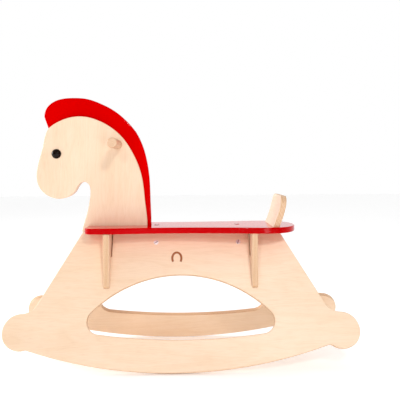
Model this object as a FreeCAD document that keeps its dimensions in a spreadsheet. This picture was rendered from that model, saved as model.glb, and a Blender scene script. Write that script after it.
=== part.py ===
import FreeCAD, Part
import math
import os
import Sketcher
from FreeCAD import Placement, Rotation, Vector

# Flat-pack plywood rocking horse. The origin is on the floor, under the middle of the
# rockers. +Z is up, the horse looks along -X, and its left side is at -Y.
# Two side panels lean in and meet under the seat. Two cross boards lap into them. The head
# is a red board between two thin cheeks; the red board is also the mane and the tongue that
# goes down between the panels.

SIZES = (
    ("ply", 12.0, "thickness of every flat board"),
    ("cheek_ply", 6.0, "thickness of the head's two outer boards"),
    ("fit_gap", 0.3, "clearance around a board in its slot, each side"),
    ("slot_play", 1.8, "extra slot room on the inner side of each cross board"),
    ("edge_radius", 2.0, "rounding of the boards' edges"),
    ("seat_height", 273.0, "floor to the top of the seat"),
    ("splay", 24.0, "lean of each side panel, in degrees"),
    ("rocker_length", 700.0, "overall length over the stop knobs"),
    ("rocker_radius", 940.0, "radius of the rocking edge"),
    ("rest_point", -16.0, "lowest point of the rocking edge, under the centre of mass"),
    ("knob_radius", 35.3, "round stop at each end of a rocker"),
    ("knob_rise", 23.7, "knob's middle above a rocking edge that had its lowest point midway"),
    ("knob_toe_radius", 9.0, "hollow between rocking edge and knob"),
    ("knob_heel_radius", 34.0, "hollow between knob and sloping side"),
    ("panel_top_length", 404.0, "length of a panel's top edge"),
    ("window_top", 189.5, "rocking edge up to the top of the window"),
    ("window_bottom", 61.3, "rocking edge up to the bottom of the window"),
    ("window_upper_bow", 250.0, "radius of the window's upper edge"),
    ("window_lower_bow", 1200.0, "radius of the window's lower edge"),
    ("window_end_radius", 25.5, "radius of the window's two ends"),
    ("cross_spacing", 298.0, "front cross board to rear cross board, middle to middle"),
    ("cross_length", 149.0, "length of a cross board, side to side"),
    ("cross_height", 108.5, "height of a cross board"),
    ("cross_corner", 6.0, "radius of a cross board's corners"),
    ("seat_front", -194.0, "seat's front edge"),
    ("seat_back", 239.5, "seat's rear tip"),
    ("seat_front_half", 73.0, "half width at the front"),
    ("seat_waist_half", 63.0, "half width at the waist"),
    ("seat_rear_half", 79.0, "greatest half width, at the rear"),
    ("seat_corner", 17.0, "radius of the front corners"),
    ("head_height", 270.0, "seat top to the crown of the mane"),
    ("tongue_drop", 66.0, "length of the head's tongue below the seat"),
    ("tongue_front", -190.0, "front edge of the tongue"),
    ("tongue_back", -108.0, "rear edge of the tongue"),
    ("handle_diameter", 20.0, "round handle bar"),
    ("handle_length", 208.0, "handle bar, end to end"),
    ("eye_diameter", 20.0, "bead eye"),
    ("eye_rise", 7.5, "how far a bead stands off the head"),
    ("eye_tenon", 8.0, "diameter of the bead's tenon"),
    ("tenon_length", 8.0, "length of the bead's tenon"),
    ("back_width", 130.0, "backrest, side to side"),
    ("back_height", 62.0, "backrest above the seat"),
    ("back_front", 187.0, "front face of the backrest where it leaves the seat"),
    ("back_lean", 25.0, "lean of the backrest at its foot, in degrees"),
    ("back_bend", 215.0, "radius of the bent ply, to its middle layer"),
    ("back_corner", 24.0, "radius of the backrest's upper corners"),
    ("groove_depth", 4.0, "groove in the seat for the backrest's foot"),
    ("bolt_diameter", 6.0, "furniture bolts"),
    ("bolt_head", 10.0, "head of a furniture bolt"),
    ("bolt_head_rise", 3.5, "height of a bolt's head"),
    ("bolt_hole", 6.6, "clearance hole for a bolt"),
    ("bolt_recess", 10.6, "recess for a bolt's head"),
    ("socket", 4.6, "hexagon socket, across its corners"),
    ("nut_diameter", 10.0, "barrel nut"),
    ("nut_drop", 29.0, "middle of a barrel nut below the panel's top edge"),
    ("nut_overrun", 8.0, "bolt's end beyond the middle of its nut"),
    ("bolt_behind_mane", 11.0, "front pair of seat bolts behind the mane's foot"),
    ("bolt_before_cross", 30.0, "rear pair of seat bolts ahead of the rear cross board"),
    ("dowel_diameter", 6.0, "wooden dowels between cross boards and seat"),
    ("dowel_length", 18.0, "length of a seat dowel"),
    ("dowel_in_seat", 8.0, "part of a seat dowel that is in the seat"),
    ("dowel_reach", 45.0, "seat dowels to the middle line"),
    ("core_dowel_diameter", 8.0, "wooden dowels through the head's three boards"),
    ("core_dowel_length", 20.0, "length of a head dowel"),
    ("screw_diameter", 4.0, "wood screws"),
    ("screw_head", 7.0, "head of a wood screw"),
    ("screw_head_rise", 2.5, "height of a wood screw's head"),
    ("screw_recess", 7.6, "recess for a wood screw's head"),
    ("screw_length", 28.0, "backrest screws, below the head"),
    ("screw_bite", 20.0, "length of a backrest screw above the seat's top"),
    ("screw_reach", 44.0, "outer backrest screws to the middle line"),
    ("screw_sunk", 3.0, "handle screw's head below the mane's edge"),
)

# Outlines of the head in millimetres, for a head 270 tall: X, and height above the seat.
# The first runs up the neck, over the crown and down the face; the second up the mane.
HEAD = ((-70, 0), (-74.5, 50), (-79, 92), (-87, 124), (-100, 153), (-118.5, 182), (-140, 203),
        (-167, 219.5), (-193, 228.5), (-215, 230.5), (-239, 226.5), (-260, 217.5),
        (-277.5, 204), (-289, 168), (-298, 136), (-302.5, 109), (-301, 92), (-294, 77),
        (-281, 65), (-260, 57.5), (-239, 60), (-223, 70.5), (-212.5, 87), (-203, 92.5),
        (-194, 88.5), (-189.5, 76), (-191, 55), (-196.5, 28), (-205, 0))
MANE = ((-62, 0), (-63.4, 50), (-65, 96), (-70, 134), (-79.5, 169), (-93, 196.5),
        (-114.5, 222), (-141.5, 244), (-168.5, 258), (-195.5, 267.5), (-222, 270),
        (-244, 269), (-263, 264), (-277, 254.5), (-284.5, 243), (-286, 228))
FOREHEAD = (-277.5, 204)
# Ways that the outlines cross the seat's top; they run on straight to its underside.
UPRIGHT = (0.0, 1.0)
CHEST_SLOPE = (-0.25, -1.0)
EYE = (-260, 151.8)
HANDLE = (-131.5, 170.5)
CORE_DOWELS = ((-172, 45), (-252, 92))
HANDLE_SCREW_ANGLE = 34.0
DRAWN_HEAD_HEIGHT = 270.0

doc = FreeCAD.newDocument("rocking_horse")
sheet = doc.addObject("Spreadsheet::Sheet", "Sizes")
for row, (alias, value, meaning) in enumerate(SIZES, start=1):
    sheet.set("A%d" % row, alias)
    sheet.set("B%d" % row, str(value))
    sheet.setAlias("B%d" % row, alias)
    sheet.set("C%d" % row, meaning)
doc.recompute()

nodes = []
X_AXIS, Y_AXIS, Z_AXIS = Vector(1, 0, 0), Vector(0, 1, 0), Vector(0, 0, 1)


def size(alias):
    return float(sheet.get(alias))


ply = size("ply")
gap = size("fit_gap")
cheek_face = ply / 2 + size("cheek_ply")                    # outer face of the head, from Y = 0
seat_top = size("seat_height")
seat_under = seat_top - ply
splay = math.radians(size("splay"))
cross_x = size("cross_spacing") / 2
lap_z = seat_under - size("cross_height") / 2
# The rounded inner edge of each rocker touches the floor, so the sharp edge lies below it.
sink = size("edge_radius") * (math.cos(splay) + math.sin(splay) - 1)
panel_top = (seat_under + sink) / math.cos(splay)           # in the panel's own plane
panel_foot = ply / 2 + gap + panel_top * math.sin(splay)    # inner face at the foot, from Y = 0
lap_height = (lap_z + sink) / math.cos(splay)
nut_height = panel_top - size("nut_drop")
bolt_foot = nut_height - size("nut_overrun")
bolt_crown = ((seat_top + sink - ply / 2 * math.sin(splay)) / math.cos(splay)
              - size("bolt_recess") / 2 * math.tan(splay))
bolt_shoulder = bolt_crown - size("bolt_head_rise")
bolt_rows = (MANE[0][0] + size("bolt_behind_mane"), cross_x - size("bolt_before_cross"))


# ---- drawing ---------------------------------------------------------------------------

def line(start, end):
    return Part.LineSegment(Vector(start[0], start[1], 0), Vector(end[0], end[1], 0))


def path(points):
    """Straight lines from point to point."""
    return [line(a, b) for a, b in zip(points, points[1:])]


def closed(points):
    return path(list(points) + [points[0]])


def arc(centre, start, end):
    """Arc about centre, counter-clockwise from start to end."""
    first = math.atan2(start[1] - centre[1], start[0] - centre[0])
    last = math.atan2(end[1] - centre[1], end[0] - centre[0])
    if last <= first:
        last += 2 * math.pi
    circle = Part.Circle(Vector(centre[0], centre[1], 0), Z_AXIS, math.dist(centre, start))
    return Part.ArcOfCircle(circle, first, last)


def spline(points, *ways):
    """A smooth curve through the points; ways are its directions at the two ends, if set."""
    curve = Part.BSplineCurve()
    through = [Vector(x, y, 0) for x, y in points]
    if ways:
        leaving, arriving = [Vector(x, y, 0).normalize() for x, y in ways]
        curve.interpolate(Points=through, InitialTangent=leaving, FinalTangent=arriving)
    else:
        curve.interpolate(through)
    return curve


def toward(centre, point, radius):
    """The point at radius from centre, on the way to point."""
    reach = math.dist(centre, point)
    return tuple(c + (p - c) * radius / reach for c, p in zip(centre, point))


def meet(centre_a, radius_a, centre_b, radius_b, right_hand):
    """Where two circles cross; right_hand picks the crossing right of the line a to b."""
    dx, dy = centre_b[0] - centre_a[0], centre_b[1] - centre_a[1]
    apart = math.hypot(dx, dy)
    along = (radius_a ** 2 - radius_b ** 2 + apart ** 2) / (2 * apart)
    aside = math.sqrt(radius_a ** 2 - along ** 2) * (-1 if right_hand else 1)
    return (centre_a[0] + (along * dx - aside * dy) / apart,
            centre_a[1] + (along * dy + aside * dx) / apart)


# ---- building --------------------------------------------------------------------------

def bind(thing, **expressions):
    """Ties properties of a document object to the sheet."""
    for name, expression in expressions.items():
        thing.setExpression(name, expression)
    return thing


def keep(thing, label):
    """Marks a finished sub-part: its label names its node."""
    thing.Label = label
    nodes.append(thing)
    return thing


def sketch_in(body, name, geometry):
    """A sketch of fixed curves on the body's XY plane."""
    sketch = body.newObject("Sketcher::SketchObject", name)
    plane = [f for f in body.Origin.OriginFeatures if f.Role == "XY_Plane"][0]
    sketch.AttachmentSupport = [(plane, "")]
    sketch.MapMode = "FlatFace"
    for index in sketch.addGeometry(geometry, False):
        sketch.addConstraint(Sketcher.Constraint("Block", index))
    return sketch


def pad(body, name, outline, length, backwards=False):
    feature = body.newObject("PartDesign::Pad", name + "_pad")
    feature.Profile = sketch_in(body, name + "_outline", outline)
    feature.Reversed = backwards
    bind(feature, Length=length)
    doc.recompute()
    return feature


def fillet(body, name, base, edges, radius):
    feature = body.newObject("PartDesign::Fillet", name)
    feature.Base = (base, edges)
    bind(feature, Radius=radius)
    doc.recompute()
    return feature


def board(name, outline, backwards=False, thickness="ply"):
    """A flat board of ply, padded from the XY plane, all round its faces' edges rounded."""
    body = doc.addObject("PartDesign::Body", name + "_body")
    slab = pad(body, name, outline, "Sizes." + thickness, backwards)
    broad = ["Face%d" % number for number, face in enumerate(slab.Shape.Faces, start=1)
             if isinstance(face.Surface, Part.Plane) and abs(face.normalAt(0, 0).z) > 0.999]
    fillet(body, name + "_rounding", slab, broad, "Sizes.edge_radius")
    return body


def pocket(body, name, outline, backwards=False):
    """Cuts the outline through a board that was padded the same way."""
    before = body.Shape.Volume
    feature = body.newObject("PartDesign::Pocket", name)
    feature.Profile = sketch_in(body, name + "_outline", outline)
    feature.Type = "ThroughAll"
    feature.Reversed = not backwards
    doc.recompute()
    if body.Shape.Volume >= before - 1:
        raise RuntimeError(name + " cuts nothing")
    return feature


def rod(name, diameter, base, direction, length):
    """A round bar. Diameter is an alias of the sheet; length is an alias or a number."""
    solid = doc.addObject("Part::Cylinder", name)
    bind(solid, Radius="Sizes.%s / 2" % diameter)
    if isinstance(length, str):
        bind(solid, Height="Sizes." + length)
    else:
        solid.Height = length
    solid.Placement = Placement(base, Rotation(Z_AXIS, direction))
    return solid


def box(name, low, high):
    solid = doc.addObject("Part::Box", name)
    solid.Length, solid.Width, solid.Height = [b - a for a, b in zip(low, high)]
    solid.Placement.Base = Vector(*low)
    return solid


def gather(name, parts):
    group = doc.addObject("Part::Compound", name)
    group.Links = parts
    return group


def cut(name, base, tools):
    result = doc.addObject("Part::Cut", name)
    result.Base = base
    result.Tool = gather(name + "_tools", tools) if len(tools) > 1 else tools[0]
    return result


def fuse(name, parts):
    result = doc.addObject("Part::MultiFuse", name)
    result.Shapes = parts
    return result


def fastener(name, kind, foot, direction, length):
    """Bolt or screw from its foot along direction; its head starts where the shank ends."""
    shoulder = foot + direction * length
    shank = rod(name + "_shank", kind + "_diameter", foot, direction, length)
    head = rod(name + "_head", kind + "_head", shoulder, direction, kind + "_head_rise")
    socket = doc.addObject("Part::Prism", name + "_socket")
    socket.Polygon = 6
    depth = size(kind + "_head_rise") * 0.6
    bind(socket, Circumradius="Sizes.socket / 2")
    socket.Height = depth + 1
    crown = shoulder + direction * (size(kind + "_head_rise") - depth)
    socket.Placement = Placement(crown, Rotation(Z_AXIS, direction))
    return cut(name, fuse(name + "_blank", [shank, head]), [socket])


# ---- side panels -----------------------------------------------------------------------

def rocker_end(side):
    """One end of a panel, side -1 front or 1 rear: where its curves start and stop.

    The sloping side aims at the knob's middle."""
    swing, knob = size("rocker_radius"), size("knob_radius")
    toe, heel = size("knob_toe_radius"), size("knob_heel_radius")
    pivot = (size("rest_point"), swing)
    reach_out = size("rocker_length") / 2 - knob
    level = swing - math.sqrt(swing ** 2 - reach_out ** 2) + size("knob_rise")
    hub = (side * reach_out, level)
    toe_hub = meet(pivot, swing + toe, hub, knob + toe, right_hand=(side > 0))
    corner = (side * size("panel_top_length") / 2, panel_top)
    lean = math.atan2(reach_out - size("panel_top_length") / 2, panel_top - level)
    down = (side * math.sin(lean), -math.cos(lean))
    out = (side * math.cos(lean), math.sin(lean))
    start = (corner[0] + heel * out[0], corner[1] + heel * out[1])
    reach = (hub[0] - start[0], hub[1] - start[1])
    middle = reach[0] * down[0] + reach[1] * down[1]
    run = middle - math.sqrt((knob + heel) ** 2 - math.hypot(*reach) ** 2 + middle ** 2)
    heel_hub = (start[0] + run * down[0], start[1] + run * down[1])
    slope_end = (corner[0] + run * down[0], corner[1] + run * down[1])
    above = (corner[0] - side * ply * math.tan(lean), panel_top + ply)
    on_rocker, on_knob = toward(pivot, toe_hub, swing), toward(hub, toe_hub, knob)
    off_knob = toward(hub, heel_hub, knob)
    if side > 0:
        curves = [arc(toe_hub, on_knob, on_rocker), arc(hub, on_knob, off_knob),
                  arc(heel_hub, slope_end, off_knob)]
    else:
        curves = [arc(toe_hub, on_rocker, on_knob), arc(hub, off_knob, on_knob),
                  arc(heel_hub, off_knob, slope_end)]
    return on_rocker, above, curves + [line(slope_end, above)]


def window():
    """The long window: a high upper bow, a flat lower bow and two round ends."""
    upper, lower = size("window_upper_bow"), size("window_lower_bow")
    end = size("window_end_radius")
    upper_hub = (0.0, size("window_top") - upper)
    lower_hub = (0.0, size("window_bottom") + lower)
    right = meet(upper_hub, upper - end, lower_hub, lower - end, right_hand=True)
    left = (-right[0], right[1])
    top_right, low_right = toward(upper_hub, right, upper), toward(lower_hub, right, lower)
    top_left, low_left = (-top_right[0], top_right[1]), (-low_right[0], low_right[1])
    return [arc(upper_hub, top_right, top_left), arc(left, top_left, low_left),
            arc(lower_hub, low_left, low_right), arc(right, low_right, top_right)]


def panel_place(side):
    """Stands a panel up: local Y climbs the lean, local Z goes through its thickness."""
    lean = Rotation(X_AXIS, 90 + side * size("splay"))
    return Placement(Vector(0, side * panel_foot, -sink), lean)


def in_panel(side, x, climb, depth):
    """World place of a point in a panel: along it, up the lean, out from the inner face."""
    return panel_place(side).multVec(Vector(x, climb, -side * depth))


def up_panel(side):
    return panel_place(side).Rotation.multVec(Y_AXIS)


def out_of_panel(side):
    return panel_place(side).Rotation.multVec(Z_AXIS) * -side


def side_panel(label, side):
    front_foot, front_top, front = rocker_end(-1)
    rear_foot, rear_top, rear = rocker_end(1)
    pivot = (size("rest_point"), size("rocker_radius"))
    outline = [arc(pivot, front_foot, rear_foot), line(rear_top, front_top)] + front + rear
    body = board(label, outline + window(), backwards=(side > 0))
    openings = []
    for end in (-1, 1):
        outer = end * (cross_x + ply / 2 + gap)
        inner = end * (cross_x - ply / 2 - gap - size("slot_play"))
        top = panel_top + 2 * ply
        openings += closed([(inner, lap_height), (outer, lap_height), (outer, top),
                            (inner, top)])
    for x in bolt_rows:
        openings.append(Part.Circle(Vector(x, nut_height, 0), Z_AXIS,
                                    size("nut_diameter") / 2))
    pocket(body, label + "_openings", openings, backwards=(side > 0))
    body.Placement = panel_place(side)
    half = size("rocker_length") / 2
    bevel = box(label + "_bevel", (-half, -half, seat_under), (half, half, seat_top + 3 * ply))
    holes = [rod("%s_hole_%d" % (label, number), "bolt_hole", foot, up_panel(side),
                 bolt_crown - bolt_foot)
             for number, foot in enumerate(bolt_feet(side, -1.0))]
    return keep(cut(label, body, [bevel] + holes), label)


# ---- cross boards ----------------------------------------------------------------------

def cross_board(label, x, extra_slot, holes):
    """An upright board across the horse, lapped over both panels from above."""
    half, corner = size("cross_length") / 2, size("cross_corner")
    low, high = seat_under - size("cross_height"), seat_under
    left, right = -half + corner, half - corner
    outline = [line((half, low + corner), (half, high)), line((half, high), (-half, high)),
               line((-half, high), (-half, low + corner)), line((left, low), (right, low)),
               arc((left, low + corner), (-half, low + corner), (left, low)),
               arc((right, low + corner), (right, low), (half, low + corner))]
    body = board(label, outline)
    slots = []
    for side in (-1, 1):
        corners = [in_panel(side, 0, climb, depth) for climb, depth in
                   ((0, -gap), (0, ply + gap), (lap_height, ply + gap), (lap_height, -gap))]
        slots += closed([(c.y, c.z) for c in corners])
    pocket(body, label + "_slots", slots + extra_slot)
    body.Placement = Placement(Vector(x - ply / 2, 0, 0), Rotation(Vector(1, 1, 1), 120))
    return keep(cut(label, body, holes), label)


def tongue_slot():
    """The head's tongue comes down into the front cross board here."""
    half = ply / 2 + gap
    top = seat_under + ply
    return closed([(-half, lap_z), (half, lap_z), (half, top), (-half, top)])


# ---- seat and backrest -----------------------------------------------------------------

def seat_outline():
    front, back, corner = size("seat_front"), size("seat_back"), size("seat_corner")
    nose, waist, rear = [size("seat_%s_half" % part) for part in ("front", "waist", "rear")]
    widest = back - 52
    flank = [(front + corner, nose), (-cross_x, nose), (-80, (nose + 2 * waist) / 3),
             (-15, waist), (60, (3 * waist + rear) / 4), (cross_x - 18, rear - 4),
             (widest, rear), (widest + 25, rear * 0.86), (widest + 43, rear * 0.55)]
    left = [(x, -y) for x, y in flank]
    right = [(x, y) for x, y in reversed(flank)]
    return [spline(left + [(back, 0)] + right),
            arc((front + corner, nose - corner), (front + corner, nose), (front, nose - corner)),
            line((front, nose - corner), (front, corner - nose)),
            arc((front + corner, corner - nose), (front, corner - nose),
                (front + corner, -nose))]


def seat(body_tools):
    """The red seat, open at the front round the three boards of the head."""
    body = board("seat_board", seat_outline())
    wide, narrow = cheek_face + gap, ply / 2 + gap
    neck, mane, front = HEAD[0][0] + gap, MANE[0][0] + gap, size("seat_front") - ply
    pocket(body, "seat_board_slot",
           closed([(front, -wide), (neck, -wide), (neck, -narrow), (mane, -narrow),
                   (mane, narrow), (neck, narrow), (neck, wide), (front, wide)]))
    body.Placement.Base = Vector(0, 0, seat_under)
    return keep(cut("seat_board", body, body_tools), "seat_board")


def back_bend():
    """Middle of the backrest's bend, seen from the side, heights from the seat's top."""
    inner = size("back_bend") - ply / 2
    lean = math.radians(size("back_lean"))
    return (size("back_front") - inner * math.cos(lean), inner * math.sin(lean)), inner


def on_bend(radius, height):
    (x, z), _ = back_bend()
    return (x + math.sqrt(radius ** 2 - (height - z) ** 2), height)


def backrest(holes):
    """Bent ply: it leaves the seat leaning back and curves toward upright."""
    centre, inner = back_bend()
    depth, middle = -size("groove_depth"), inner + ply / 2
    crown = on_bend(middle, size("back_height"))
    front_foot, rear_foot = on_bend(inner, depth), on_bend(inner + ply, depth)
    front_top, rear_top = toward(centre, crown, inner), toward(centre, crown, inner + ply)
    profile = [arc(centre, front_foot, front_top), line(front_top, rear_top),
               arc(centre, rear_foot, rear_top), line(rear_foot, front_foot)]
    body = doc.addObject("PartDesign::Body", "backrest_body")
    strip = pad(body, "backrest", profile, "Sizes.back_width")
    upper = ["Edge%d" % number for number, edge in enumerate(strip.Shape.Edges, start=1)
             if isinstance(edge.Curve, Part.Line) and abs(edge.Length - ply) < 0.01
             and edge.CenterOfMass.y > size("back_height") / 2]
    corners = fillet(body, "backrest_corners", strip, upper, "Sizes.back_corner")
    bent = ["Face%d" % number for number, face in enumerate(corners.Shape.Faces, start=1)
            if isinstance(face.Surface, Part.Cylinder) and face.Surface.Radius > middle - ply]
    fillet(body, "backrest_rounding", corners, bent, "Sizes.edge_radius")
    body.Placement = Placement(Vector(0, size("back_width") / 2, seat_top),
                               Rotation(X_AXIS, 90))
    keep(cut("backrest", body, holes), "backrest")
    return body


def backrest_screw_line():
    """A point of the backrest's middle layer at the seat's top, and the way it leaves."""
    centre, inner = back_bend()
    x, z = on_bend(inner + ply / 2, 0)
    way = Vector(-(z - centre[1]), 0, x - centre[0]).normalize()
    return Vector(x, 0, seat_top), way


# ---- head ------------------------------------------------------------------------------

def raised(point):
    """A point of the head's drawing, stretched to the head's height."""
    return (point[0], point[1] * size("head_height") / DRAWN_HEAD_HEIGHT)


def head_curve():
    """Neck, crown, face and chest, from the seat's top and back to it."""
    return spline([raised(p) for p in HEAD], UPRIGHT, CHEST_SLOPE)


def mane_curve():
    """The mane's back and top, from the seat's top; a straight front edge follows it."""
    tip, forehead = raised(MANE[-1]), raised(FOREHEAD)
    return spline([raised(p) for p in MANE], UPRIGHT,
                  (forehead[0] - tip[0], forehead[1] - tip[1]))


def chest_foot():
    """Where the chest's straight end reaches the seat's underside."""
    return (HEAD[-1][0] + CHEST_SLOPE[0] * ply, -ply)


def head_place(y):
    """Stands a head board up with its first face at y; it thickens toward -Y."""
    return Placement(Vector(0, y, seat_top), Rotation(X_AXIS, 90))


def head_point(drawn, y):
    x, z = raised(drawn)
    return Vector(x, y, seat_top + z)


def head_board(label, y, holes):
    outline = [head_curve()] + path([HEAD[-1], chest_foot(), (HEAD[0][0], -ply), HEAD[0]])
    body = board(label, outline, thickness="cheek_ply")
    body.Placement = head_place(y)
    return keep(cut(label, body, holes), label)


def mane_board(holes):
    """The red middle board: mane, core of the head, and tongue between the panels."""
    face = head_curve()
    x, z = raised(FOREHEAD)
    face.segment(face.parameter(Vector(x, z, 0)), face.LastParameter)
    front, back = size("tongue_front"), size("tongue_back")
    foot = -ply - size("tongue_drop")
    outline = [mane_curve(), line(raised(MANE[-1]), raised(FOREHEAD)), face]
    outline += path([HEAD[-1], chest_foot(), (front, -ply), (front, foot), (back, foot),
                     (back, -ply), (MANE[0][0], -ply), MANE[0]])
    body = board("mane_board", outline)
    low, high, half = foot - ply, lap_z - seat_top, ply / 2 + gap
    pocket(body, "mane_board_lap",
           closed([(-cross_x - half, low), (-cross_x + half, low), (-cross_x + half, high),
                   (-cross_x - half, high)]))
    body.Placement = head_place(ply / 2)
    return keep(cut("mane_board", body, holes), "mane_board")


def eye(label, side):
    """A turned bead with a tenon; its flat back lies on the head."""
    radius, rise, tenon = size("eye_diameter") / 2, size("eye_rise"), size("eye_tenon") / 2
    rim, depth = rise / 5, size("tenon_length")
    ball = ((rise - rim) ** 2 + radius ** 2) / (2 * (rise - rim))
    dome = arc((0, rise - ball), (radius, rim), (0, rise))
    body = doc.addObject("PartDesign::Body", label)
    turned = body.newObject("PartDesign::Revolution", label + "_turned")
    sketch = sketch_in(body, label + "_half", [dome] + path(
        [(0, rise), (0, -depth), (tenon, -depth), (tenon, 0), (radius, 0), (radius, rim)]))
    turned.Profile = sketch
    turned.ReferenceAxis = (sketch, ["V_Axis"])
    turned.Angle = 360
    body.Placement = Placement(head_point(EYE, side * cheek_face),
                               Rotation(Y_AXIS, Vector(0, side, 0)))
    doc.recompute()
    return keep(body, label)


# ---- fasteners -------------------------------------------------------------------------

def bolt_feet(side, further=0.0):
    """Lower ends of a panel's two seat bolts, in the middle of its thickness."""
    return [in_panel(side, x, bolt_foot + further, ply / 2)
            for x in bolt_rows]


def seat_hardware():
    """Four bolts down through the seat, a barrel nut in the panel for each, and recesses."""
    bolts, nuts, recesses = [], [], []
    for side in (-1, 1):
        up, out = up_panel(side), out_of_panel(side)
        for foot in bolt_feet(side):
            mark = "seat_%d" % (len(bolts) + 1)
            bolts.append(fastener(mark + "_bolt", "bolt", foot, up, bolt_shoulder - bolt_foot))
            nut_centre = foot + up * size("nut_overrun")
            blank = rod(mark + "_nut_blank", "nut_diameter",
                        nut_centre - out * (ply / 2 - 0.3), out, ply - 0.6)
            thread = rod(mark + "_thread", "bolt_diameter", foot - up, up, bolt_crown - bolt_foot)
            nuts.append(cut(mark + "_nut", blank, [thread]))
            shoulder = foot + up * (bolt_shoulder - bolt_foot)
            recesses.append(rod(mark + "_recess", "bolt_recess", shoulder, up, 2.0 * ply))
            recesses.append(rod(mark + "_hole", "bolt_hole", foot, up,
                                bolt_crown - bolt_foot))
    keep(gather("seat_bolts", bolts), "seat_bolts")
    keep(gather("seat_barrel_nuts", nuts), "seat_barrel_nuts")
    return recesses


def head_hardware():
    """One bolt up through the front cross board into a barrel nut in the tongue."""
    low = Vector(-cross_x, 0, seat_under - size("cross_height"))
    nut_centre = Vector(-cross_x, 0, (lap_z + seat_under) / 2)
    length = nut_centre.z + size("nut_overrun") - low.z
    keep(fastener("head_bolt", "bolt", low + Z_AXIS * length, -Z_AXIS, length), "head_bolt")
    hole = rod("head_bolt_hole", "bolt_hole", low - Z_AXIS, Z_AXIS, length + 2)
    seat_for_nut = rod("head_nut_hole", "nut_diameter", nut_centre - Y_AXIS * ply, Y_AXIS,
                       2.0 * ply)
    blank = rod("head_nut_blank", "nut_diameter", nut_centre - Y_AXIS * (ply / 2 - 0.3),
                Y_AXIS, ply - 0.6)
    thread = rod("head_nut_thread", "bolt_diameter", low, Z_AXIS, length + 2)
    keep(cut("head_barrel_nut", blank, [thread]), "head_barrel_nut")
    return hole, seat_for_nut


def backrest_screws():
    """Three screws up through the seat into the backrest's foot, sunk in the underside."""
    foot, way = backrest_screw_line()
    screws, cuts = [], []
    for number in (-1, 0, 1):
        mark = "backrest_%d" % (number + 2)
        tip = foot + Y_AXIS * (number * size("screw_reach")) + way * size("screw_bite")
        screws.append(fastener(mark + "_screw", "screw", tip, -way, size("screw_length")))
        cuts.append(rod(mark + "_hole", "screw_diameter", tip, -way, "screw_length"))
        cuts.append(rod(mark + "_recess", "screw_recess", tip - way * size("screw_length"),
                        -way, 1.0 * ply))
    keep(gather("backrest_screws", screws), "backrest_screws")
    return cuts


def handle_hardware():
    """The handle bar through all three boards, and the screw that holds it from behind."""
    middle = head_point(HANDLE, 0)
    angle = math.radians(HANDLE_SCREW_ANGLE)
    way = Vector(math.cos(angle), 0, math.sin(angle))
    x, z = raised(HANDLE)
    ray = line((x, z), (x + 200 * math.cos(angle), z + 200 * math.sin(angle)))
    edge = [math.dist((p.X, p.Y), (x, z)) for p in mane_curve().intersectCC(ray)][0]
    tip = middle + way * 2
    length = edge - size("screw_sunk") - size("screw_head_rise") - 2
    keep(fastener("handle_screw", "screw", tip, way, length), "handle_screw")
    pilot = rod("handle_screw_pilot", "screw_diameter", tip, way, length)
    recess = rod("handle_screw_recess", "screw_recess", tip + way * length, way, 2.0 * ply)
    bar = rod("handle_round", "handle_diameter", middle + Y_AXIS * (size("handle_length") / 2),
              -Y_AXIS, "handle_length")
    doc.recompute()
    rounded = doc.addObject("Part::Fillet", "handle_rounded")
    rounded.Base = bar
    ends = [number for number, e in enumerate(bar.Shape.Edges, start=1)
            if isinstance(e.Curve, Part.Circle)]
    rounded.Edges = [(number, 2.5, 2.5) for number in ends]
    keep(cut("handle_bar", rounded, [pilot]), "handle_bar")
    hole = rod("handle_hole", "handle_diameter", middle + Y_AXIS * (3 * ply), -Y_AXIS, 6.0 * ply)
    return hole, [pilot, recess]


def seat_dowels():
    dowels = []
    for x in (-cross_x, cross_x):
        for side in (-1, 1):
            top = Vector(x, side * size("dowel_reach"), seat_under + size("dowel_in_seat"))
            dowels.append(rod("seat_dowel_%d" % (len(dowels) + 1), "dowel_diameter", top,
                              -Z_AXIS, "dowel_length"))
    return keep(gather("seat_dowels", dowels), "seat_dowels")


def head_dowels():
    dowels = []
    for place in CORE_DOWELS:
        end = head_point(place, size("core_dowel_length") / 2)
        dowels.append(rod("head_dowel_%d" % (len(dowels) + 1), "core_dowel_diameter", end,
                          -Y_AXIS, "core_dowel_length"))
    return keep(gather("head_dowels", dowels), "head_dowels")


# ---- the horse -------------------------------------------------------------------------

bolt_cuts = seat_hardware()
bolt_hole, nut_hole = head_hardware()
screw_cuts = backrest_screws()
handle_hole, handle_screw_cuts = handle_hardware()
doc.recompute()
seat_pins = seat_dowels()
head_pins = head_dowels()
left_eye = eye("left_eye", -1)
right_eye = eye("right_eye", 1)
bent_back = backrest(screw_cuts)

side_panel("left_side_panel", -1)
side_panel("right_side_panel", 1)
cross_board("front_cross_board", -cross_x, tongue_slot(), [seat_pins, bolt_hole])
cross_board("rear_cross_board", cross_x, [], [seat_pins])
seat(bolt_cuts + screw_cuts + [seat_pins, bent_back])
mane_board([handle_hole, head_pins, bolt_hole, nut_hole, left_eye, right_eye]
           + handle_screw_cuts)
head_board("left_head_board", -ply / 2, [handle_hole, head_pins, left_eye])
head_board("right_head_board", cheek_face, [handle_hole, head_pins, right_eye])
doc.recompute()

for thing in doc.Objects:
    if "Invalid" in thing.State or "Error" in thing.State:
        raise RuntimeError("%s did not build: %s" % (thing.Name, thing.State))
for node in nodes:
    if node.Shape.isNull() or not node.Shape.isValid() or not node.Shape.Solids:
        raise RuntimeError(node.Label + " has no sound solid")

os.makedirs("parts", exist_ok=True)
for node in nodes:
    node.Shape.exportStep("parts/%s.step" % node.Label)
print(len(nodes), "nodes written")
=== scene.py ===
import math
import bmesh
import bpy
from mathutils import Matrix, Vector


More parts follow.
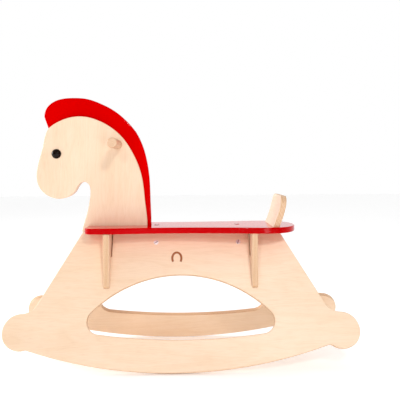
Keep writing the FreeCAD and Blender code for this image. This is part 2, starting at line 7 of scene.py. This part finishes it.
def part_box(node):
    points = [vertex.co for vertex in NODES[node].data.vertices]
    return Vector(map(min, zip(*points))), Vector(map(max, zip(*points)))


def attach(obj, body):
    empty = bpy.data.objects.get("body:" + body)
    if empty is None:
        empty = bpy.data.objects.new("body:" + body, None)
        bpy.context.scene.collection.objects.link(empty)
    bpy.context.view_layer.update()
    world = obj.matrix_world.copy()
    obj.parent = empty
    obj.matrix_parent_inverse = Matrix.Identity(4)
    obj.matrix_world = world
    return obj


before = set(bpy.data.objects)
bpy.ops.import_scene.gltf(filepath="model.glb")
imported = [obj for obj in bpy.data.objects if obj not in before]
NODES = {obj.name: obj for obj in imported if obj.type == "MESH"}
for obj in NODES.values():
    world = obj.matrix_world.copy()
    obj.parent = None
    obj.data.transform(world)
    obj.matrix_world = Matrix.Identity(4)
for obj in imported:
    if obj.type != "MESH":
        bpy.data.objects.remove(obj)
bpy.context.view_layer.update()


def middle(node):
    """Middle of a CAD node's box."""
    low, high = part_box(node)
    return (low + high) / 2


def thickness_across(node):
    """How thick a board is that stands upright along the middle line."""
    low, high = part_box(node)
    return high.y - low.y


# Sizes of the horse that the finishes and small pieces need, in metres.
SPLAY = math.radians(24)                        # lean of a side panel
UP_TO_LEAN = math.radians(90) - SPLAY
PLY = thickness_across("mane_board")            # every board but the head's two cheeks
CHEEK_PLY = thickness_across("left_head_board")
BOARD_PLIES = 9
CHEEK_PLIES = 5
PANEL_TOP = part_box("right_side_panel")[1].z
TOP_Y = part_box("right_side_panel")[0].y         # a panel's inner top edge, from the middle line
CROSS_X = middle("rear_cross_board").x
HANDLE = middle("handle_bar")
NUT_RADIUS = 0.005
NUT_ROWS = (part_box("seat_barrel_nuts")[0].x + NUT_RADIUS,
            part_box("seat_barrel_nuts")[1].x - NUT_RADIUS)
NUT_DROP = 0.029                                # from a panel's top edge, down its lean
BARE_CORNER = (-0.187, 0.4765)                  # X, Z: ahead of and below it the mane is bare


# ---- material helpers ------------------------------------------------------------------

def colour(hexes):
    """sRGB hex to linear RGBA."""
    values = [int(hexes[i:i + 2], 16) / 255 for i in (0, 2, 4)]
    return tuple(v / 12.92 if v <= 0.04045 else ((v + 0.055) / 1.055) ** 2.4
                 for v in values) + (1.0,)


def add(tree, kind, inputs, stops=(), **settings):
    """Adds a node: its settings, then its inputs, each a value or the output that feeds it.

    The stops of a colour ramp are places, each with a hex colour or a grey level."""
    node = tree.nodes.new(kind)
    for name, value in settings.items():
        setattr(node, name, value)
    for key, value in inputs.items():
        if isinstance(value, bpy.types.NodeSocket):
            tree.links.new(value, node.inputs[key])
        else:
            node.inputs[key].default_value = value
    if stops:
        bar = node.color_ramp.elements
        while len(bar) < len(stops):
            bar.new(0.5)
        for element, (place, shade) in zip(bar, stops):
            element.position = place
            element.color = colour(shade) if isinstance(shade, str) else (shade,) * 3 + (1,)
    return node


def start(name, **surface):
    """A material with one shader; surface holds the values that are the same all over."""
    material = bpy.data.materials.new(name)
    material.use_nodes = True
    tree = material.node_tree
    tree.nodes.clear()
    shader = add(tree, "ShaderNodeBsdfPrincipled",
                 {key.replace("_", " "): value for key, value in surface.items()})
    add(tree, "ShaderNodeOutputMaterial", {0: shader.outputs[0]})
    return material, tree, shader.inputs


def in_mm(tree):
    """Object coordinates in millimetres."""
    place = add(tree, "ShaderNodeTexCoord", {})
    return add(tree, "ShaderNodeMapping",
               {0: place.outputs["Object"], "Scale": (1000, 1000, 1000)}).outputs[0]


def in_board(tree, turn, centre):
    """Millimetres from the board's centre, turned so that X runs along its grain and Z through
    it, and the surface's normal turned the same way."""
    back = tuple(turn.inverted().to_euler("XYZ"))
    centred = add(tree, "ShaderNodeVectorMath",
                  {0: in_mm(tree), 1: tuple(c * 1000 for c in centre)}, operation="SUBTRACT")
    local = add(tree, "ShaderNodeMapping", {0: centred.outputs[0], "Rotation": back})
    outward = add(tree, "ShaderNodeTexCoord", {}).outputs["Normal"]
    normal = add(tree, "ShaderNodeMapping", {0: outward, "Rotation": back})
    return local.outputs[0], normal.outputs[0]


def on_broad_face(tree, normal):
    """1 on a board's two broad faces, 0 on its edges."""
    split = add(tree, "ShaderNodeSeparateXYZ", {0: normal})
    upright = add(tree, "ShaderNodeMath", {0: split.outputs[2]}, operation="ABSOLUTE")
    return add(tree, "ShaderNodeMapRange", {0: upright.outputs[0], 1: 0.55, 2: 0.9},
               interpolation_type="SMOOTHSTEP").outputs[0]


def veneer(tree, local, seed):
    """What every rotary-cut birch face has. The pores are 0.9 mm wide and 22 mm long, drawn
    coarser than real so that they show, and the tone drifts over 90 to 240 mm."""
    fine = add(tree, "ShaderNodeMapping",
               {0: local, "Location": (seed * 31.0, seed * 17.0, 0),
                "Scale": (1 / 22, 1 / 0.9, 1 / 3)})
    pores = add(tree, "ShaderNodeTexNoise",
                {0: fine.outputs[0], "Scale": 1.0, "Detail": 2.0, "Roughness": 0.6})
    broad = add(tree, "ShaderNodeMapping",
                {0: local, "Location": (seed * 3.0, 0, 0), "Scale": (1 / 240, 1 / 90, 1 / 90)})
    tone = add(tree, "ShaderNodeTexNoise", {0: broad.outputs[0], "Scale": 1.0, "Detail": 1.0})
    return pores.outputs[0], tone.outputs[0]


def edge_stripes(tree, local, thickness, plies):
    """A plywood edge: dark glue lines between plies, and every second ply darker end grain."""
    through = add(tree, "ShaderNodeSeparateXYZ", {0: local})
    wobble = add(tree, "ShaderNodeTexNoise", {0: local, "Scale": 0.05, "Detail": 1.0})
    drift = add(tree, "ShaderNodeMath", {0: wobble.outputs[0], 1: 0.25}, operation="MULTIPLY")
    depth = add(tree, "ShaderNodeMath", {0: through.outputs[2], 1: drift.outputs[0]},
                operation="ADD")
    count = add(tree, "ShaderNodeMath", {0: depth.outputs[0], 1: plies / thickness},
                operation="MULTIPLY")
    phase = add(tree, "ShaderNodeMath", {0: count.outputs[0]}, operation="FRACT")
    glue = add(tree, "ShaderNodeMath", {0: phase.outputs[0], 1: 0.0, 2: 0.1},
               operation="COMPARE")
    half = add(tree, "ShaderNodeMath", {0: count.outputs[0], 1: 0.5}, operation="MULTIPLY")
    parity = add(tree, "ShaderNodeMath", {0: half.outputs[0]}, operation="FRACT")
    end_grain = add(tree, "ShaderNodeMath", {0: parity.outputs[0], 1: 0.5},
                    operation="GREATER_THAN")
    plain = add(tree, "ShaderNodeMix",
                {0: end_grain.outputs[0], 6: colour("efd2b2"), 7: colour("d2a478")},
                data_type="RGBA")
    return add(tree, "ShaderNodeMix",
               {0: glue.outputs[0], 6: plain.outputs[2], 7: colour("a8754a")},
               data_type="RGBA").outputs[2]


# ---- materials -------------------------------------------------------------------------

def birch_plywood(name, turn, centre, seed, thickness=PLY * 1000, plies=BOARD_PLIES):
    """Birch plywood, sanded and clear-lacquered: pale straw faces with a faint long figure in
    bands 26 mm wide and 260 mm long, edges in darker and lighter stripes where the plies end."""
    material, tree, surface = start(name, IOR=1.5, Coat_Weight=0.15, Coat_Roughness=0.3)
    local, normal = in_board(tree, turn, centre)
    pores, tone = veneer(tree, local, seed)
    base = add(tree, "ShaderNodeValToRGB", {0: tone}, ((0.3, "f0d6b9"), (0.7, "eaccad")))
    stretched = add(tree, "ShaderNodeMapping",
                    {0: local, "Location": (seed * 137.0, seed * 71.0, 0),
                     "Scale": (1 / 260, 1 / 26, 1 / 60)})
    wave = add(tree, "ShaderNodeTexNoise",
               {0: stretched.outputs[0], "Scale": 1.0, "Detail": 3.0, "Roughness": 0.5,
                "Distortion": 0.7})
    lines = add(tree, "ShaderNodeMath", {0: wave.outputs[0], 1: 13.0}, operation="MULTIPLY")
    bands = add(tree, "ShaderNodeMath", {0: lines.outputs[0], 1: 1.0}, operation="PINGPONG")
    figure = add(tree, "ShaderNodeValToRGB", {0: bands.outputs[0]},
                 ((0.0, "e2bc98"), (0.3, "eecdae"), (1.0, "f7decb")))
    figured = add(tree, "ShaderNodeMix", {0: 0.17, 6: base.outputs[0], 7: figure.outputs[0]},
                  data_type="RGBA")
    fleck = add(tree, "ShaderNodeValToRGB", {0: pores}, ((0.34, "d3a882"), (0.5, "fff6ee")))
    face = add(tree, "ShaderNodeMix", {0: 0.16, 6: figured.outputs[2], 7: fleck.outputs[0]},
               data_type="RGBA", blend_type="MULTIPLY")
    grit = add(tree, "ShaderNodeTexNoise", {0: local, "Scale": 1.3, "Detail": 3.0})
    fuzz = add(tree, "ShaderNodeValToRGB", {0: grit.outputs[0]},
               ((0.3, "b98c5d"), (0.7, "fff1dc")))
    edge = add(tree, "ShaderNodeMix",
               {0: 0.25, 6: edge_stripes(tree, local, thickness, plies), 7: fuzz.outputs[0]},
               data_type="RGBA", blend_type="MULTIPLY")
    wood = add(tree, "ShaderNodeMix",
               {0: on_broad_face(tree, normal), 6: edge.outputs[2], 7: face.outputs[2]},
               data_type="RGBA")
    tree.links.new(wood.outputs[2], surface["Base Color"])
    rough = add(tree, "ShaderNodeMapRange", {0: pores, 1: 0.3, 2: 0.7, 3: 0.5, 4: 0.38})
    tree.links.new(rough.outputs[0], surface["Roughness"])
    bump = add(tree, "ShaderNodeBump", {"Height": pores, "Strength": 0.18, "Distance": 0.0002})
    tree.links.new(bump.outputs[0], surface["Normal"])
    return material


def red_lacquer(name, turn, centre, seed, bare_corner=None):
    """Opaque red lacquer sprayed on plywood: bright and glossy, with a soft orange peel, the
    grain just telegraphing through, and the colour a touch deeper on the rounded edges.
    Ahead of and below the bare corner (X, Z in metres) the board shows bare plywood."""
    material, tree, surface = start(name, IOR=1.2, Specular_IOR_Level=0.2, Coat_Weight=0.6,
                                    Coat_IOR=1.25, Coat_Roughness=0.06)
    local, normal = in_board(tree, turn, centre)
    pores, tone = veneer(tree, local, seed)
    face = add(tree, "ShaderNodeValToRGB", {0: tone}, ((0.3, "cb0003"), (0.7, "d40004")))
    edge = add(tree, "ShaderNodeValToRGB", {0: tone}, ((0.3, "b40004"), (0.7, "bf0006")))
    coat = add(tree, "ShaderNodeMix",
               {0: on_broad_face(tree, normal), 6: edge.outputs[0], 7: face.outputs[0]},
               data_type="RGBA").outputs[2]
    if bare_corner:
        spot = add(tree, "ShaderNodeSeparateXYZ",
                   {0: add(tree, "ShaderNodeTexCoord", {}).outputs["Object"]})
        ahead = add(tree, "ShaderNodeMath", {0: spot.outputs[0], 1: bare_corner[0]},
                    operation="LESS_THAN")
        below = add(tree, "ShaderNodeMath", {0: spot.outputs[2], 1: bare_corner[1]},
                    operation="LESS_THAN")
        bare = add(tree, "ShaderNodeMath", {0: ahead.outputs[0], 1: below.outputs[0]},
                   operation="MULTIPLY")
        coat = add(tree, "ShaderNodeMix",
                   {0: bare.outputs[0], 6: coat,
                    7: edge_stripes(tree, local, PLY * 1000, BOARD_PLIES)},
                   data_type="RGBA").outputs[2]
    tree.links.new(coat, surface["Base Color"])
    peel = add(tree, "ShaderNodeTexNoise", {0: local, "Scale": 0.35, "Detail": 2.0})
    rough = add(tree, "ShaderNodeMapRange",
                {0: peel.outputs[0], 1: 0.3, 2: 0.7, 3: 0.12, 4: 0.2})
    tree.links.new(rough.outputs[0], surface["Roughness"])
    grain = add(tree, "ShaderNodeMath", {0: pores, 1: 0.5}, operation="MULTIPLY")
    height = add(tree, "ShaderNodeMath", {0: grain.outputs[0], 1: peel.outputs[0]},
                 operation="ADD")
    bump = add(tree, "ShaderNodeBump",
               {"Height": height.outputs[0], "Strength": 0.04, "Distance": 0.0002})
    tree.links.new(bump.outputs[0], surface["Normal"])
    return material


def turned_birch(name, turn, centre):
    """Turned solid birch, clear-lacquered: long grain round the bar, rings on its ends. Grain
    lines are 1.6 mm wide and 70 mm long."""
    material, tree, surface = start(name, Roughness=0.4, IOR=1.5, Coat_Weight=0.2)
    local, normal = in_board(tree, turn, centre)
    facing = add(tree, "ShaderNodeSeparateXYZ", {0: normal})
    endward = add(tree, "ShaderNodeMath", {0: facing.outputs[0]}, operation="ABSOLUTE")
    on_end = add(tree, "ShaderNodeMapRange", {0: endward.outputs[0], 1: 0.6, 2: 0.9})
    stretched = add(tree, "ShaderNodeMapping", {0: local, "Scale": (1 / 70, 1 / 1.6, 1 / 1.6)})
    grain = add(tree, "ShaderNodeTexNoise",
                {0: stretched.outputs[0], "Scale": 1.0, "Detail": 3.0})
    side = add(tree, "ShaderNodeValToRGB", {0: grain.outputs[0]},
               ((0.3, "c08a63"), (0.5, "d6a983"), (0.72, "e6c3a2")))
    heart = add(tree, "ShaderNodeMapping",
                {0: local, "Location": (0, 9, 4), "Scale": (0, 1, 1)})
    rings = add(tree, "ShaderNodeTexWave",
                {0: heart.outputs[0], "Scale": 0.16, "Distortion": 1.2, "Detail": 2.0},
                wave_type="RINGS", rings_direction="X")
    end = add(tree, "ShaderNodeValToRGB", {0: rings.outputs[1]},
              ((0.0, "c99b75"), (0.6, "dcb695"), (1.0, "e6c8aa")))
    wood = add(tree, "ShaderNodeMix",
               {0: on_end.outputs[0], 6: side.outputs[0], 7: end.outputs[0]}, data_type="RGBA")
    tree.links.new(wood.outputs[2], surface["Base Color"])
    bump = add(tree, "ShaderNodeBump",
               {"Height": grain.outputs[0], "Strength": 0.15, "Distance": 0.0002})
    tree.links.new(bump.outputs[0], surface["Normal"])
    return material


def zinc_plate(name):
    """Zinc-plated steel: cool bright metal, faintly blotched every 2 mm, satin."""
    material, tree, surface = start(name, Metallic=1.0)
    blotch = add(tree, "ShaderNodeTexNoise", {0: in_mm(tree), "Scale": 0.5, "Detail": 3.0})
    metal = add(tree, "ShaderNodeValToRGB", {0: blotch.outputs[0]},
                ((0.3, "d6d7d7"), (0.7, "ececea")))
    tree.links.new(metal.outputs[0], surface["Base Color"])
    rough = add(tree, "ShaderNodeMapRange",
                {0: blotch.outputs[0], 1: 0.3, 2: 0.7, 3: 0.42, 4: 0.58})
    tree.links.new(rough.outputs[0], surface["Roughness"])
    return material


def mottled(name, scale, detail, dark, light, **surface_values):
    """A plain finish whose colour drifts between two shades; scale is spots per millimetre."""
    material, tree, surface = start(name, **surface_values)
    drift = add(tree, "ShaderNodeTexNoise", {0: in_mm(tree), "Scale": scale, "Detail": detail})
    shade = add(tree, "ShaderNodeValToRGB", {0: drift.outputs[0]}, ((0.3, dark), (0.7, light)))
    tree.links.new(shade.outputs[0], surface["Base Color"])
    return material


# ---- finishes on the boards and fasteners ----------------------------------------------

def dress(material, *nodes):
    """Gives CAD nodes one material in every slot."""
    for name in nodes:
        thing = NODES[name]
        if not thing.material_slots:
            thing.data.materials.append(material)
        for slot in thing.material_slots:
            slot.material = material


def axes(along, through):
    """Turn whose X is along the grain and Z through the board."""
    z = Vector(through).normalized()
    x = Vector(along).normalized()
    return Matrix((x, z.cross(x), z)).transposed()


for side, name in ((-1, "left"), (1, "right")):
    outward = (0, side * math.cos(SPLAY), math.sin(SPLAY))
    dress(birch_plywood("birch_plywood_" + name + "_panel", axes((1, 0, 0), outward),
                        centre=(0, side * TOP_Y, PANEL_TOP), seed=2.0 + side),
          name + "_side_panel")
    dress(birch_plywood("birch_plywood_" + name + "_cheek", axes((0.05, 0, 1), (0, side, 0)),
                        centre=(0, side * PLY / 2, 0.4), seed=5.0 + side,
                        thickness=CHEEK_PLY * 1000, plies=CHEEK_PLIES),
          name + "_head_board")
for end, name in ((-1, "front"), (1, "rear")):
    dress(birch_plywood("birch_plywood_" + name + "_cross", axes((0, 1, 0), (1, 0, 0)),
                        centre=(end * CROSS_X - PLY / 2, 0, 0.2), seed=9.0 + end),
          name + "_cross_board")
dress(birch_plywood("birch_plywood_backrest", axes((0, 1, 0), (0.96, 0, -0.25)),
                    centre=(0.19, 0, 0.3), seed=13.0), "backrest")
dress(red_lacquer("red_lacquer_seat", axes((1, 0, 0), (0, 0, 1)), centre=(0, 0, PANEL_TOP),
                  seed=1.0), "seat_board")
dress(red_lacquer("red_lacquer_mane", axes((0.2, 0, 1), (0, 1, 0)), centre=(0, 0, 0.4),
                  seed=2.0, bare_corner=BARE_CORNER), "mane_board")
dress(turned_birch("turned_birch_bar", axes((0, 1, 0), (0, 0, 1)), centre=HANDLE),
      "handle_bar")
dress(turned_birch("turned_birch_dowels", axes((0, 0, 1), (1, 0, 0)), centre=(0, 0, 0)),
      "seat_dowels", "head_dowels")
dress(zinc_plate("zinc_plated_steel"), "seat_bolts", "seat_barrel_nuts", "head_bolt",
      "head_barrel_nut", "handle_screw", "backrest_screws")
# Turned wooden bead dyed near black-brown and glossed: deep, with small bright glints.
dress(mottled("glossed_dark_bead", scale=0.25, detail=2.0, dark="0d0402", light="1a0905",
              Roughness=0.1, IOR=1.3), "left_eye", "right_eye")


# ---- small pieces ----------------------------------------------------------------------

def select_only(piece):
    bpy.ops.object.select_all(action="DESELECT")
    piece.select_set(True)
    bpy.context.view_layer.objects.active = piece


def lay_on_panel(piece, side, x, below_top, out, turn=0.0):
    """Lays a flat piece on a side panel: below_top down the lean from the inner top edge, out
    from the inner face, turned by degrees in the panel's plane."""
    y = TOP_Y + below_top * math.sin(SPLAY) + out * math.cos(SPLAY)
    z = PANEL_TOP - below_top * math.cos(SPLAY) + out * math.sin(SPLAY)
    piece.matrix_world = (Matrix.Translation((x, side * y, z))
                          @ Matrix.Rotation(-side * UP_TO_LEAN, 4, "X")
                          @ Matrix.Rotation(math.radians(turn), 4, "Z"))


def settle(piece, material):
    """Finishes a piece: place into its mesh, normals outward, rides with the horse."""
    select_only(piece)
    bpy.ops.object.transform_apply(location=True, rotation=True, scale=True)
    bpy.ops.object.mode_set(mode="EDIT")
    bpy.ops.mesh.select_all(action="SELECT")
    bpy.ops.mesh.remove_doubles(threshold=0.000001)
    bpy.ops.mesh.normals_make_consistent(inside=False)
    bpy.ops.object.mode_set(mode="OBJECT")
    piece.data.materials.clear()
    piece.data.materials.append(material)
    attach(piece, "root")


def horseshoe_mark(radius=0.0115, opening=-0.0077, burn=0.0003):
    """A plain scorched horseshoe on the left panel, below the seat. It stands a hair proud."""
    # Laser-scorched wood: warm brown, a little uneven.
    scorch = mottled("laser_scorched_birch", scale=0.9, detail=3.0, dark="8a4a25",
                     light="a9653a", Roughness=0.65)
    bpy.ops.object.select_all(action="DESELECT")
    bpy.ops.mesh.primitive_circle_add(vertices=48, radius=radius, location=(0, 0, 0))
    mark = bpy.context.object
    mark.name = "horseshoe_mark"
    bpy.ops.object.mode_set(mode="EDIT")
    bpy.ops.mesh.select_all(action="DESELECT")
    mesh = bmesh.from_edit_mesh(mark.data)
    for vertex in mesh.verts:
        vertex.select = vertex.co.y < opening
    mesh.select_flush(True)
    bmesh.update_edit_mesh(mark.data)
    bpy.ops.mesh.delete(type="VERT")
    bpy.ops.mesh.select_all(action="SELECT")
    bpy.ops.transform.resize(value=(1, 1.22, 1))
    bpy.ops.mesh.extrude_edges_move()
    bpy.ops.transform.resize(value=(0.62, 0.7, 1), center_override=(0, -0.0008, 0))
    bpy.ops.object.mode_set(mode="OBJECT")
    lay_on_panel(mark, side=-1, x=-0.008, below_top=0.0625, out=PLY - 0.00008)
    thick = mark.modifiers.new("burn_depth", "SOLIDIFY")
    thick.thickness = burn
    thick.offset = 0
    select_only(mark)
    bpy.ops.object.modifier_apply(modifier="burn_depth")
    settle(mark, scorch)


def painted_slot_shades(length=0.0088, width=0.0015, turns=(28, 74, 110, 155)):
    """Painted shade of the screwdriver slot on each barrel nut's end, turned as each was left."""
    # Milled slot in zinc-plated steel, drawn as a flat strip of dull dark grey: its shadow is
    # painted in.
    slot_shade_paint = mottled("shadowed_steel_slot", scale=0.9, detail=2.0, dark="5c5a58",
                     light="767472", Roughness=0.6, Metallic=0.3)
    bpy.ops.object.select_all(action="DESELECT")
    bpy.ops.mesh.primitive_cube_add(size=1)
    first = bpy.context.object
    bpy.ops.object.mode_set(mode="EDIT")
    bpy.ops.mesh.select_all(action="SELECT")
    bpy.ops.transform.resize(value=(length, width, 0.0003))
    bpy.ops.mesh.bevel(offset=0.00008, segments=2, affect="EDGES")
    bpy.ops.object.mode_set(mode="OBJECT")
    places = [(side, x) for side in (-1, 1) for x in NUT_ROWS]
    slots = [first] + [first.copy() for _ in places[1:]]
    for piece in slots[1:]:
        piece.data = first.data.copy()
        bpy.context.scene.collection.objects.link(piece)
    for piece, (side, x), turn in zip(slots, places, turns):
        piece.name = "nut_driver_slot_%s_%s" % ("left" if side < 0 else "right",
                                                "front" if x < 0 else "rear")
        lay_on_panel(piece, side, x, below_top=NUT_DROP, out=PLY - 0.0004, turn=turn)
        settle(piece, slot_shade_paint)


horseshoe_mark()
# painted shade for the barrel nuts' screwdriver slots
painted_slot_shades()


# ---- studio ----------------------------------------------------------------------------

def softbox(name, place, aim, size, watts):
    data = bpy.data.lights.new(name, "AREA")
    data.shape = "RECTANGLE"
    data.size, data.size_y = size
    data.energy = watts
    lamp = bpy.data.objects.new(name, data)
    bpy.context.scene.collection.objects.link(lamp)
    lamp.location = place
    lamp.rotation_euler = (Vector(aim) - Vector(place)).to_track_quat("-Z", "Y").to_euler()


softbox("front_softbox", place=(-0.5, -2.2, 1.1), aim=(0, 0, 0.2), size=(0.3, 0.2), watts=6)
softbox("low_softbox", place=(0.5, -2.2, 0.18), aim=(0, 0, 0.15), size=(0.5, 0.3), watts=4)
softbox("upper_right_softbox", place=(0.45, -2.0, 1.4), aim=(0, 0, 0.25), size=(0.22, 0.22),
        watts=12)
softbox("left_window", place=(-2.4, 0.5, 0.9), aim=(0.1, 0, 0.25), size=(0.9, 0.9), watts=45)


# The studio is white all round but dimmer behind the camera, so that glossy red facing
# the camera stays deep while the seat's top mirrors the white wall.
world = bpy.data.worlds.new("white_studio")
bpy.context.scene.world = world
world.use_nodes = True
studio = world.node_tree
studio.nodes.clear()
way = add(studio, "ShaderNodeSeparateXYZ",
          {0: add(studio, "ShaderNodeTexCoord", {}).outputs["Generated"]})
depth = add(studio, "ShaderNodeMapRange", {0: way.outputs[1], 1: -1.0, 2: 1.0})
room = add(studio, "ShaderNodeValToRGB", {0: depth.outputs[0]},
           ((0.1, 0.45), (0.5, 0.85), (0.75, 1.0)))
around = add(studio, "ShaderNodeBackground", {0: room.outputs[0]})
seen = add(studio, "ShaderNodeBackground", {0: (1, 1, 1, 1)})
rays = add(studio, "ShaderNodeLightPath", {})
blend = add(studio, "ShaderNodeMixShader",
            {0: rays.outputs["Is Camera Ray"], 1: around.outputs[0], 2: seen.outputs[0]})
add(studio, "ShaderNodeOutputWorld", {0: blend.outputs[0]})

bpy.ops.object.select_all(action="DESELECT")
bpy.ops.mesh.primitive_plane_add(size=14, location=(0, 0, 0))
floor = bpy.context.object
floor.name = "studio_floor"
# Seamless matt paper, almost white, with a soft glow of its own as paper lit from behind has.
floor.data.materials.append(
    mottled("matt_paper_floor", scale=0.02, detail=2.0, dark="f6f6f6", light="f9f9f9",
            Roughness=0.85, Emission_Color=(1, 1, 1, 1), Emission_Strength=0.2))

lens = bpy.data.cameras.new("studio_camera")
lens.lens = 53.25
lens.sensor_width = 36
lens.shift_x = 0.0262
lens.shift_y = -0.0825
camera = bpy.data.objects.new("studio_camera", lens)
bpy.context.scene.collection.objects.link(camera)
camera.matrix_world = (Matrix.Translation((0.0195, -1.256, 0.395))
                       @ Matrix.Rotation(math.radians(90), 4, "X")
                       @ Matrix.Rotation(math.radians(-0.45), 4, "Z"))
bpy.context.scene.camera = camera
look = bpy.context.scene.view_settings
look.view_transform = "Standard"
look.use_curve_mapping = True
look.curve_mapping.black_level = (0.008, 0.008, 0.008)
look.curve_mapping.update()
